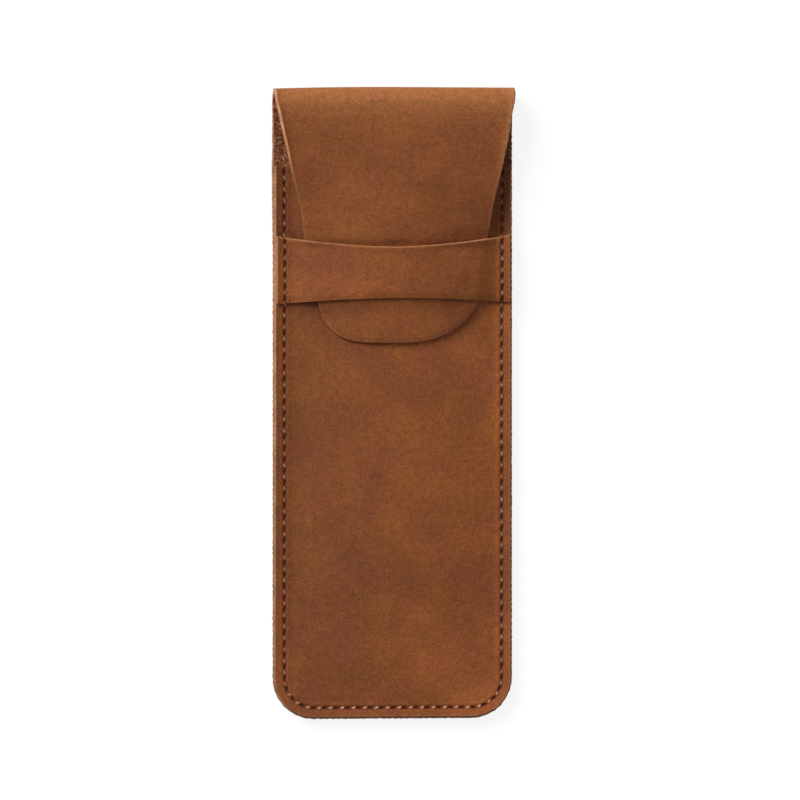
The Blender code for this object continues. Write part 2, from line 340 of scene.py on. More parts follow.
    def past_corner(self, x, y):
        """How far a place lies past the middle of a bottom corner, and if it does."""
        past_x, past_y = np.abs(x) - self.corner_x, self.corner_y - y
        return past_x, past_y, (past_x > 0) & (past_y > 0)

    def cut_gap(self, x, y):
        """Distance in from the sides and the rounded bottom of the body."""
        past_x, past_y, rounded = self.past_corner(x, y)
        straight = np.minimum(self.half_width - np.abs(x), y - self.bottom_y)
        return np.where(rounded, self.corner - np.hypot(past_x, past_y), straight)

    def seam_gap(self, x, y):
        """Distance in from the seam."""
        return self.cut_gap(x, y) - self.inset

    def seam_run(self, x, y):
        """Distance along the seam, from the mouth at the left to that at the right."""
        past_x = np.maximum(np.abs(x) - self.corner_x, TINY)
        side = self.side_run + self.seam_radius * np.arctan2(self.corner_y - y, past_x)
        side = np.where(y >= self.corner_y, self.mouth_y - y, side)
        side = np.where(x > 0, self.seam_length - side, side)
        bottom = self.side_run + self.corner_run + x + self.corner_x
        return np.where((y < self.corner_y) & (np.abs(x) <= self.corner_x), bottom, side)

    def seam_point(self, run):
        """Place of the seam in plan, and the direction in which it runs."""
        far = run > self.seam_length / 2
        left = self.seam_length - run if far else run
        if left <= self.side_run:
            x, y = self.inset - self.half_width, self.mouth_y - left
            along_x, along_y = 0.0, -1.0
        elif left <= self.side_run + self.corner_run:
            turn = (left - self.side_run) / self.seam_radius
            along_x, along_y = math.sin(turn), -math.cos(turn)
            x = self.seam_radius * along_y - self.corner_x
            y = self.corner_y - self.seam_radius * along_x
        else:
            x = left - self.corner_x - self.side_run - self.corner_run
            y = self.bottom_y + self.inset
            along_x, along_y = 1.0, 0.0
        return (-x, y, along_x, -along_y) if far else (x, y, along_x, along_y)

    def hole_gap(self, run):
        """Distance along the seam to the nearest hole, the first half a stitch in."""
        step = run / self.pitch - 0.5
        return (step - np.round(step)) * self.pitch

    def outward(self, x, y):
        """Direction in plan from the seam to the cut edge."""
        past_x, past_y, rounded = self.past_corner(x, y)
        side = self.half_width - np.abs(x) < y - self.bottom_y
        size = np.maximum(np.hypot(past_x, past_y), TINY)
        out_x = np.where(rounded, past_x / size, np.where(side, 1.0, 0.0))
        out_y = np.where(rounded, past_y / size, np.where(side, 0.0, 1.0))
        return out_x * np.sign(x), -out_y

    def past_seam(self, x, y):
        """0 at the seam and inside it, and 1 at the cut edge."""
        return near(self.cut_gap(x, y), reach=self.inset)

    def curl_slope(self, x, y):
        """Slope of the turned-up allowance, steeper at the right and the bottom."""
        out_x, out_y = self.outward(x, y)
        left = smooth_step(-out_x)
        upper = ease(y - self.bottom_y, length=90.0 * MM)
        fade = ease(self.bend_y - y, length=12.0 * MM)
        return (0.24 - 0.12 * left + 0.08 * left * upper - 0.03 * out_y**2) * fade

    def curl(self, x, y):
        """How far the allowance outside the seam turns up."""
        power = 1.3
        return self.curl_slope(x, y) * self.inset * self.past_seam(x, y) ** power / power

    def leaned(self, x, y, height):
        """Plan of an outer skin, which leans inward where the allowance turns up."""
        out_x, out_y = self.outward(x, y)
        reach = height * self.curl_slope(x, y) * self.past_seam(x, y)
        return x - out_x * reach, y - out_y * reach

    def seam_dip(self, gap, hole):
        """Depth of the pressed groove, between two ridges, and of its long holes."""
        wave = 1.0 + 0.55 * np.cos(math.tau * hole / self.pitch)
        groove = GROOVE_DEPTH * bell(gap, GROOVE_WIDTH)
        groove = groove + HOLE_DEPTH * bell(gap, HOLE_WIDTH) * bell(hole, HOLE_LENGTH) ** 2
        ridge = RIDGE_HEIGHT * bell(gap - RIDGE_INSET, RIDGE_WIDTH) * wave
        return groove - ridge - OUTER_HEIGHT * bell(gap + OUTER_INSET, OUTER_WIDTH)

    def sewn_dip(self, x, y):
        """Relief of the seam on a panel, which begins at the height of the mouth."""
        begun = ease(self.mouth_y - y, length=1.1 * MM)
        return begun * self.seam_dip(self.seam_gap(x, y), self.hole_gap(self.seam_run(x, y)))

    def edge_tone(self, x, y):
        """Painted light on the left cut edges, paler towards the top, and painted shade on the
        right and bottom ones.
        """
        out_x, out_y = self.outward(x, y)
        upper = ease(y + 40.0 * MM, length=90.0 * MM)
        pale = smooth_step(0.45 - 0.8 * out_x + 0.25 * out_y)
        return 0.35 + (0.30 + 0.18 * upper) * pale + 0.15 * smooth_step(out_x)

    def front_skin(self, x, y):
        inside = ease(self.seam_gap(x, y) - 2.0 * MM, length=10.0 * MM)
        uneven = inside * ripple(x, y, height=0.13 * MM, length=31.0 * MM, seed=1.3)
        return self.dome_top(x, y) + self.curl(x, y) - self.sewn_dip(x, y) + uneven

    def back_skin(self, x, y):
        """Height of the outer side of the back, which never goes under the table."""
        return self.curl(x, y) + np.maximum(self.sewn_dip(x, y), 0.0)

    def bend_point(self, angle):
        """Place and height of the outer skin on the bend, turned from the back."""
        return self.bend_y + self.bend * np.sin(angle), self.bend - self.bend * np.cos(angle)

    def slant(self, x, share):
        """The top left corner of the real one sits a little lower."""
        return -0.55 * MM * self.left_share(x) ** 2 * share


def grid_quads(index):
    """Faces of a grid of points, given by their numbers row by row."""
    corners = (index[:-1, :-1], index[1:, :-1], index[1:, 1:], index[:-1, 1:])
    return np.stack(corners, axis=-1).reshape(-1, 4)


def panel_layout(shape, straight):
    """Plan of a body panel with these straight rows: points, faces and border.

    A band follows the sides and the rounded bottom, so that the seam and the cut
    edge run along the rows of the mesh. An even grid fills the middle. The last
    result says which points of the border lie along the top.
    """
    inner_radius = shape.corner - BAND_WIDTH
    turn_steps = round(shape.corner_run / shape.step)
    turns = np.linspace(0.0, RIGHT_ANGLE, turn_steps + 1)[1:]
    row_y = np.append(straight, shape.corner_y - inner_radius * np.sin(turns))
    straight_halves = np.full(len(straight), shape.half_width - BAND_WIDTH)
    halves = np.append(straight_halves, shape.corner_x + inner_radius * np.cos(turns))
    columns = round(shape.bottom_run / shape.step)
    grid_x = halves[:, None] * np.linspace(-1.0, 1.0, columns + 1)[None, :]
    grid_y = np.repeat(row_y[:, None], columns + 1, axis=1)
    points = np.stack([grid_x.ravel(), grid_y.ravel()], axis=1)
    index = np.arange(len(points)).reshape(grid_x.shape)
    quads = [grid_quads(index)]
    path = np.concatenate([index[:, 0], index[-1, 1:-1], index[::-1, -1]])
    left_out = np.tile((-1.0, 0.0), (len(row_y), 1))
    left_out[len(straight) :] = np.stack([-np.cos(turns), -np.sin(turns)], axis=1)
    bottom_out = np.tile((0.0, -1.0), (columns - 1, 1))
    outward = np.concatenate([left_out, bottom_out, left_out[::-1] * (-1.0, 1.0)])
    rings = [path]
    for offset in BAND_STEPS[1:]:
        rings.append(np.arange(len(points), len(points) + len(path)))
        points = np.concatenate([points, points[path] + outward * (offset * MM)])
    for inner, outer in zip(rings[:-1], rings[1:]):
        quads.append(np.stack([inner[:-1], outer[:-1], outer[1:], inner[1:]], axis=1))
    from_right = [ring[-1] for ring in rings[-2:0:-1]]
    to_left = [ring[0] for ring in rings[1:-1]]
    loop = np.concatenate([rings[-1], from_right, index[0, ::-1], to_left])
    at_top = np.arange(len(loop)) >= len(path) - 1
    at_top[0] = True
    return points, np.concatenate(quads), loop, at_top


def strip_layout(rows, halves, centre, columns):
    """Plan of a sheet given by rows of different widths, with closer points at its sides."""
    edge = np.sin(np.linspace(-RIGHT_ANGLE, RIGHT_ANGLE, columns + 1))
    shares = 0.45 * edge + 0.55 * np.linspace(-1.0, 1.0, columns + 1)
    x = centre[:, None] + halves[:, None] * shares[None, :]
    y = np.repeat(rows[:, None], columns + 1, axis=1)
    index = np.arange(x.size).reshape(x.shape)
    loop = np.concatenate([index[:, 0], index[-1, 1:-1], index[::-1, -1], index[0, -2:0:-1]])
    return np.stack([x.ravel(), y.ravel()], axis=1), grid_quads(index), loop


def unit(rows):
    """Directions of length 1."""
    return rows / np.maximum(np.linalg.norm(rows, axis=1), 1e-20)[:, None]


def inward_normals(skin, quads, up, rows=slice(None)):
    """Directions into the leather, which point up on the whole, or down, in these rows."""
    first = skin[quads[:, 2]] - skin[quads[:, 0]]
    across = np.cross(first, skin[quads[:, 3]] - skin[quads[:, 1]])
    normals = np.zeros_like(skin)
    for corner in range(4):
        np.add.at(normals, quads[:, corner], across)
    normals = unit(normals)
    return normals if (normals[rows, 2].sum() > 0) == up else -normals


def distance_to_loop(plan, outline):
    """Distance from each point to a closed outline, both in plan."""
    steps = np.roll(outline, -1, axis=0) - outline
    squares = np.maximum((steps**2).sum(axis=1), 1e-20)
    best = np.full(len(plan), 1.0)
    for base, along, square in zip(outline, steps, squares):
        share = np.clip(((plan - base) @ along) / square, 0.0, 1.0)
        best = np.minimum(best, np.hypot(*(plan - base - share[:, None] * along).T))
    return best


def loose_fibres(border, outward, inward, depth, soft, chance):
    """Short bent fibres that stand out of a cut edge, with the edge point of each."""
    chosen = np.flatnonzero(soft > 0.3)
    chosen = chosen[chance.random(len(chosen)) < 0.75 * np.minimum(soft[chosen], 1.0)]
    chosen = np.repeat(chosen, 2)
    count = len(chosen)
    deep = chance.uniform(0.12, 0.92, count)[:, None] * depth[chosen][:, None]
    root = border[chosen] + inward[chosen] * deep + outward[chosen] * (0.03 * MM)
    heading = unit(outward[chosen] + chance.normal(0.0, 0.55, (count, 3)))
    bent = heading + chance.normal(0.0, 0.7, (count, 3))
    size = chance.uniform(0.12, 0.42, count)[:, None] * MM
    middle = root + heading * size * 0.5
    side = unit(np.cross(heading, inward[chosen] + 0.3))
    other = np.cross(heading, side)
    rings = []
    for centre, thick in ((root, 0.040 * MM), (middle, 0.030 * MM)):
        for angle in (0.0, math.tau / 3, 2 * math.tau / 3):
            around = side * math.cos(angle) + other * math.sin(angle)
            rings.append(centre + around * thick)
    rings.append(middle + bent * size * 0.4)
    points = np.stack(rings, axis=1).reshape(-1, 3)
    points[:, 2] = np.maximum(points[:, 2], 0.02 * MM)
    sides = ((0, 1, 4), (0, 4, 3), (1, 2, 5), (1, 5, 4), (2, 0, 3), (2, 3, 5))
    ends = ((3, 4, 6), (4, 5, 6), (5, 3, 6), (2, 1, 0))
    faces = np.arange(count)[:, None, None] * len(rings) + np.array(sides + ends)
    return points, faces.reshape(-1, 3), np.repeat(chosen, len(rings))


def store(mesh, key, value):
    """Keep a number or a place for each point, for the materials to read."""
    value = np.asarray(value, np.float32)
    kind, field = ("FLOAT", "value") if value.ndim == 1 else ("FLOAT_VECTOR", "vector")
    mesh.attributes.new(key, kind, "POINT").data.foreach_set(field, value.ravel())


def show(name, mesh, materials):
    """Turn the faces outward, shade them smooth and put the piece in the scene."""
    work = bmesh.new()
    work.from_mesh(mesh)
    bmesh.ops.recalc_face_normals(work, faces=work.faces)
    work.to_mesh(mesh)
    work.free()
    mesh.shade_smooth()
    for material in materials:
        mesh.materials.append(material)
    piece = bpy.data.objects.new(name, mesh)
    bpy.context.scene.collection.objects.link(piece)
    return piece


def leather_piece(name, skin, quads, loop, inward, thickness, soft, hide, marks, materials):
    """A closed sheet of leather: outer side, worn cut edge and flesh side.

    skin holds the points of the outer side and inward the way into the leather.
    soft says for each point of the border how far its cut edge bulges. hide is the
    place of each point on the flat hide, and marks are what the materials read.
    """
    count, rim = len(skin), len(loop)
    depth = thickness * np.ones(count)
    border = skin[loop]
    along = unit(np.roll(border, -1, axis=0) - np.roll(border, 1, axis=0))
    outward = np.cross(along, inward[loop])
    if ((border - skin.mean(axis=0)) * outward).sum() < 0:
        outward = -outward
    parts = [skin, skin + inward * depth[:, None]]
    rings = [loop]
    chance = np.random.default_rng(len(name))
    run = np.arange(rim)
    waves = CUT_RIPPLE * np.sin(run * 1.9 + 0.4 * np.sin(run * 0.37))
    for row, (share, bulge) in enumerate(CUT_WALL):
        fray = chance.normal(0.0, CUT_FRAY, rim) + waves
        reach = (CUT_BULGE * bulge + fray) * soft
        ring = border + inward[loop] * (depth[loop] * share)[:, None]
        parts.append(ring + outward * reach[:, None])
        rings.append(run + 2 * count + row * rim)
    rings.append(loop + count)
    faces = [quads, quads[:, ::-1] + count]
    kinds = [GRAIN, FLESH]
    for upper, lower in zip(rings[:-1], rings[1:]):
        wall = np.stack([upper, np.roll(upper, -1), np.roll(lower, -1), lower], axis=1)
        faces.append(wall)
        kinds.append(CUT)
    fibres, fibre_faces, roots = loose_fibres(
        border, outward, inward[loop], depth[loop], soft, chance
    )
    parts.append(fibres)
    faces.append(fibre_faces + 2 * count + len(CUT_WALL) * rim)
    kinds.append(CUT)
    mesh = bpy.data.meshes.new(name)
    all_faces = [face for group in faces for face in group.tolist()]
    mesh.from_pydata(np.concatenate(parts).tolist(), [], all_faces)
    kinds = np.repeat(kinds, [len(group) for group in faces]).astype(np.int32)
    mesh.polygons.foreach_set("material_index", kinds)
    whole = np.arange(count)
    source = np.concatenate([whole, whole, np.tile(loop, len(CUT_WALL)), loop[roots]])
    shares = [0.0, 1.0, *(share for share, _ in CUT_WALL), 0.5]
    below_skin = depth[source] * np.repeat(shares, [len(part) for part in parts])
    place = [along_hide[source] for along_hide in hide]
    store(mesh, "hide", np.stack([*place, -below_skin], axis=1))
    for key, value in (PLAIN_MARKS | marks).items():
        store(mesh, key, (value * np.ones(count))[source])
    piece = show(name, mesh, materials)
    mesh.set_sharp_from_angle(angle=math.radians(48.0))
    return piece


def math_method(operation, swapped=False):
    """A method of a term that puts it through a Math node with another number."""

    def method(self, other):
        values = (other, self) if swapped else (self, other)
        return self.shader.math(operation, *values)

    return method


class Term:
    """One number of a shader, so that node maths reads as an expression."""

    def __init__(self, shader, socket):
        self.shader = shader
        self.socket = socket

    __add__ = __radd__ = math_method("ADD")
    __mul__ = __rmul__ = math_method("MULTIPLY")
    __sub__ = math_method("SUBTRACT")
    __rsub__ = math_method("SUBTRACT", swapped=True)
    __truediv__ = math_method("DIVIDE")
    __rtruediv__ = math_method("DIVIDE", swapped=True)
    __pow__ = math_method("POWER")
    __rpow__ = math_method("POWER", swapped=True)

    def __abs__(self):
        return self.shader.math("ABSOLUTE", self)


class Nodes:
    """A node tree that is put together node by node."""

    def __init__(self, tree):
        self.tree = tree

    def node(self, kind, settings=None, **sockets):
        """A node of this kind. A socket is named, or numbered as in i0."""
        made = self.tree.nodes.new(kind)
        for key, value in (settings or {}).items():
            setattr(made, key, value)
        for key, value in sockets.items():
            self.feed(made.inputs[int(key[1:]) if key[1:].isdigit() else key], value)
        return made

    def feed(self, target, value):
        if isinstance(value, Term):
            value = value.socket
        if isinstance(value, bpy.types.NodeSocket):
            self.tree.links.new(value, target)
        elif target.type == "RGBA":
            target.default_value = (*value[:3], 1.0)
        else:
            target.default_value = value

    def math(self, operation, *values):
        sockets = {f"i{index}": value for index, value in enumerate(values)}
        made = self.node("ShaderNodeMath", {"operation": operation}, **sockets)
        return Term(self, made.outputs[0])

    def seen_plainly(self):
        """1 where the camera sees this, also in a gloss or through a clear thing."""
        rays = self.node("ShaderNodeLightPath").outputs
        camera, glossy, passed = (
            Term(self, rays[f"Is {kind} Ray"]) for kind in ("Camera", "Glossy", "Transmission")
        )
        return self.math("MINIMUM", camera + glossy + passed, 1.0)


class Shader(Nodes):
    """A material, with the masks, patterns and mixes that the leather needs."""

    def __init__(self, name, **constants):
        self.material = bpy.data.materials.new(name)
        self.material.use_nodes = True
        super().__init__(self.material.node_tree)
        self.finish(**constants)

    def number(self, attribute):
        made = self.node("ShaderNodeAttribute", {"attribute_name": attribute})
        return Term(self, made.outputs["Fac"])

    def place(self, attribute):
        made = self.node("ShaderNodeAttribute", {"attribute_name": attribute})
        return made.outputs["Vector"]

    def noise(self, at, size, detail=2.0, rough=0.5, warp=0.0):
        sockets = {"Scale": 1.0 / size, "Detail": detail, "Roughness": rough, "Distortion": warp}
        made = self.node("ShaderNodeTexNoise", Vector=at, **sockets)
        return Term(self, made.outputs["Fac"])

    def cells(self, at, size):
        """Distance to the nearest of many scattered points."""
        made = self.node("ShaderNodeTexVoronoi", Vector=at, Scale=1.0 / size)
        return Term(self, made.outputs["Distance"])

    def between(self, value, low, high):
        """0 under low, 1 over high, and smooth between them."""
        smooth = {"interpolation_type": "SMOOTHSTEP"}
        made = self.node("ShaderNodeMapRange", smooth, i0=value, i1=low, i2=high)
        return Term(self, made.outputs[0])

    def mix(self, factor, first, second):
        colours = {"data_type": "RGBA"}
        return self.node("ShaderNodeMix", colours, i0=factor, i6=first, i7=second).outputs[2]

    def tint(self, shade, amount):
        """The colour made lighter or darker by a number around 1."""
        scale = {"operation": "SCALE"}
        return self.node("ShaderNodeVectorMath", scale, i0=shade, Scale=amount).outputs[0]

    def filtered(self, shade, through):
        """The colour multiplied by a colour near white."""
        product = {"operation": "MULTIPLY"}
        return self.node("ShaderNodeVectorMath", product, i0=shade, i1=through).outputs[0]

    def bump(self, height, distance, strength, **under):
        sockets = {"Height": height, "Distance": distance, "Strength": strength}
        return self.node("ShaderNodeBump", **sockets, **under).outputs["Normal"]

    def finish(self, **sockets):
        """Feed the surface, with _ for each space in the name of a socket."""
        surface = self.tree.nodes["Principled BSDF"]
        for key, value in sockets.items():
            self.feed(surface.inputs[key.replace("_", " ")], value)
        return self.material


def seam_marks(shader, pitch):
    """Masks for the stitch holes and for the groove around them."""
    gap = shader.number("seam_gap")
    step = shader.number("seam_run") / pitch - 0.5
    off = (step - shader.math("ROUND", step)) * pitch
    slanted = gap + off * 0.20
    reach = (off / (0.80 * MM)) ** 2.0 + (slanted / (0.50 * MM)) ** 2.0
    hole = 1.0 - shader.between(reach, 0.55, 1.20)
    groove = 1.0 - shader.between(abs(gap), 0.25 * MM, 1.00 * MM)
    return hole, groove


def grain_material(name, colours, pitch, level):
    """Oiled nubuck: cloudy patches, a fine nap, pale bends and worn edges."""
    shader = Shader(name, Specular_IOR_Level=0.16)
    at = shader.place("hide")
    cloud = shader.noise(at, 30.0 * MM, warp=0.3)
    patch = shader.noise(at, 9.0 * MM, detail=3.0, rough=0.60, warp=0.3)
    fleck = shader.noise(at, 1.60 * MM, detail=3.0, rough=0.70)
    nap = shader.noise(at, 0.60 * MM, detail=1.0, rough=0.60)
    shade = cloud * 0.60 + patch * 0.40
    base = shader.mix(shader.between(shade, 0.37, 0.54), colours.grain_dark, colours.grain)
    base = shader.mix(shader.between(shade, 0.48, 0.66), base, colours.grain_light)
    pulled = shader.number("bend") * (0.55 + 0.85 * patch)
    base = shader.mix(shader.math("MINIMUM", pulled, 1.0), base, colours.pull_up)
    worn_gap = shader.number("cut_gap") + fleck * (0.6 * MM)
    rubbed = 1.0 - shader.between(worn_gap, 0.35 * MM, 1.00 * MM)
    base = shader.mix(rubbed * 0.20, base, colours.pull_up)
    blotch = shader.noise(at, 10.0 * MM, detail=1.0, warp=0.4)
    mottle = shader.noise(at, 3.4 * MM, rough=0.6, warp=0.4)
    hue = shader.between(blotch * 0.60 + mottle * 0.40, 0.38, 0.62)
    base = shader.filtered(base, shader.mix(hue, (1.015, 0.984, 1.10), (0.985, 1.022, 0.91)))
    hole, groove = seam_marks(shader, pitch)
    speckle = 0.10 + 0.92 * fleck + 0.88 * nap
    # Painted shade: the groove a tenth darker, and the stitch holes painted in the dark hole
    # colour.
    amount = (1.0 - 0.10 * groove) * speckle * shader.number("tone") * level
    base = shader.mix(hole * 0.90, shader.tint(base, amount), colours.hole)
    rough = 0.66 + 0.20 * fleck - 0.12 * rubbed
    skin = shader.bump(nap, 0.10 * MM, 0.7)
    skin = shader.bump(fleck + 0.5 * patch, 0.24 * MM, 0.6, Normal=skin)
    return shader.finish(Base_Color=base, Roughness=rough, Normal=skin)


def flesh_material(name, colours):
    """Raw inner side: loose curled fibres, pale on a dark ground."""
    shader = Shader(name, Specular_IOR_Level=0.12, Roughness=0.92)
    at = shader.place("hide")
    curls = shader.noise(at, 1.7 * MM, rough=0.60, warp=0.8)
    strand = 1.0 - shader.between(abs(curls - 0.5), 0.020, 0.080)
    clump = shader.noise(at, 2.2 * MM)
    fine = shader.noise(at, 0.36 * MM, rough=0.6)
    tuft = 1.0 - shader.between(shader.cells(at, 0.98 * MM) + 0.5 * fine, 0.36, 0.68)
    raised = shader.math("MAXIMUM", strand * 0.35, tuft)
    raised = raised * (0.45 + 0.55 * shader.between(clump, 0.34, 0.54))
    damp = 0.75 * shader.between(clump, 0.35, 0.65)
    ground = shader.mix(damp, colours.flesh_dark, colours.grain)
    shade = shader.mix(raised * 0.85, ground, colours.flesh_light)
    shade = shader.tint(shade, 0.45 + 1.1 * fine)
    skin = shader.bump(raised + 0.5 * fine, 0.26 * MM, 0.9)
    return shader.finish(Base_Color=shade, Normal=skin)


def cut_material(name, colours, warm):
    """Bare cut through the leather: pale fibre, more orange where it is warm."""
    shader = Shader(name, Specular_IOR_Level=0.15, Roughness=0.9)
    at = shader.place("hide")
    fibre = shader.noise(at, 0.55 * MM, detail=3.0, rough=0.65)
    stain = shader.noise(at, 3.2 * MM)
    mixed = shader.between(fibre * 0.60 + stain * 0.40, 0.36, 0.60)
    shade = shader.mix(mixed, colours.cut_shade, colours.cut_edge)
    shade = shader.mix(warm, shade, colours.pull_up)
    # Painted light and shade of the cut edge, from the edge shading of each piece.
    shade = shader.tint(shade, shader.number("edge_tone"))
    return shader.finish(Base_Color=shade, Normal=shader.bump(fibre, 0.16 * MM, 0.9))


def thread_material(name, colours):
    """Twisted sewing thread, with painted shade where it goes into the holes."""
    shader = Shader(name, Specular_IOR_Level=0.12)
    at = shader.place("hide")
    fluff = shader.noise(at, 0.22 * MM, rough=0.6)
    wear = shader.noise(at, 7.0 * MM)
    shade = shader.mix(shader.between(wear, 0.25, 0.75), colours.pull_up, colours.thread)
    shade = shader.tint(shade, (0.60 + 0.80 * fluff) * shader.number("tone"))
    sunk = 1.0 - shader.between(shader.number("proud"), 0.74, 0.98)
    shade = shader.mix(sunk * 0.92, shade, colours.hole)
    skin = shader.bump(fluff, 0.06 * MM, 0.7)
    return shader.finish(Base_Color=shade, Roughness=0.55 + 0.2 * fluff, Normal=skin)


def leather_materials(name, colours, pitch, level=1.0, warm=0.0):
    return (
        grain_material(name + " grain", colours, pitch, level),
        cut_material(name + " cut edge", colours, warm),
        flesh_material(name + " flesh side", colours),
    )


def case_settings(context):
    """The shape to build, and the colours to give it."""
    return CaseShape(context.scene.pencil_case_sizes), context.scene.pencil_case_colours


class PENCILCASE_OT_back_leather(bpy.types.Operator):
    """Lay the back panel and turn it up into the first half of the bend"""

    bl_idname = "pencilcase.back_leather"
    bl_label = "Back Leather"

    def execute(self, context):
        shape, colours = case_settings(context)
        half_turn = shape.bend * RIGHT_ANGLE
        count = round((shape.bend_y - shape.corner_y) / shape.step)
        bend_rows = shape.bend_y + np.linspace(half_turn, 0.0, BEND_ROWS)[:-1]
        rows = np.concatenate([bend_rows, np.linspace(shape.bend_y, shape.corner_y, count)])
        plan, quads, loop, at_top = panel_layout(shape, rows)
        x, run = plan.T
        angle = np.clip((run - shape.bend_y) / shape.bend, 0.0, RIGHT_ANGLE)
        bend_y, bend_z = shape.bend_point(angle)
        on_bend = run > shape.bend_y
        y = np.where(on_bend, bend_y, run) + shape.slant(x, smooth_step(angle))
        z = np.where(on_bend, bend_z, shape.back_skin(x, run))
        bulge = 0.22 * MM * bell(run - 57.0 * MM, width=12.0 * MM)
        skin = np.stack([x - bulge * shape.left_share(x) ** 4, y, z], axis=1)
        inward = inward_normals(skin, quads, up=True)
        inward[run > shape.bend_y + half_turn - JOIN_MARGIN] = (0.0, -1.0, 0.0)
        soft = np.where(at_top, 0.0, 1.0)
        far = PLAIN_MARKS["seam_gap"]
        marks = {
            "edge_tone": shape.edge_tone(x, run),
            "cut_gap": shape.cut_gap(x, run),
            "seam_gap": np.where(run < shape.mouth_y, shape.seam_gap(x, run), far),
            "seam_run": shape.seam_run(x, run),
            "bend": smooth_step(angle / RIGHT_ANGLE),
        }
        materials = leather_materials("back leather", colours, shape.pitch)
        sheet = ("back_leather", skin, quads, loop, inward)
        piece = leather_piece(*sheet, shape.thickness, soft, (x, run), marks, materials)
        start = shape.bend_point(math.radians(8.0))
        end = shape.bend_point(math.radians(82.0))
        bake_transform(piece)
        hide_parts("back_panel")
        return {"FINISHED"}


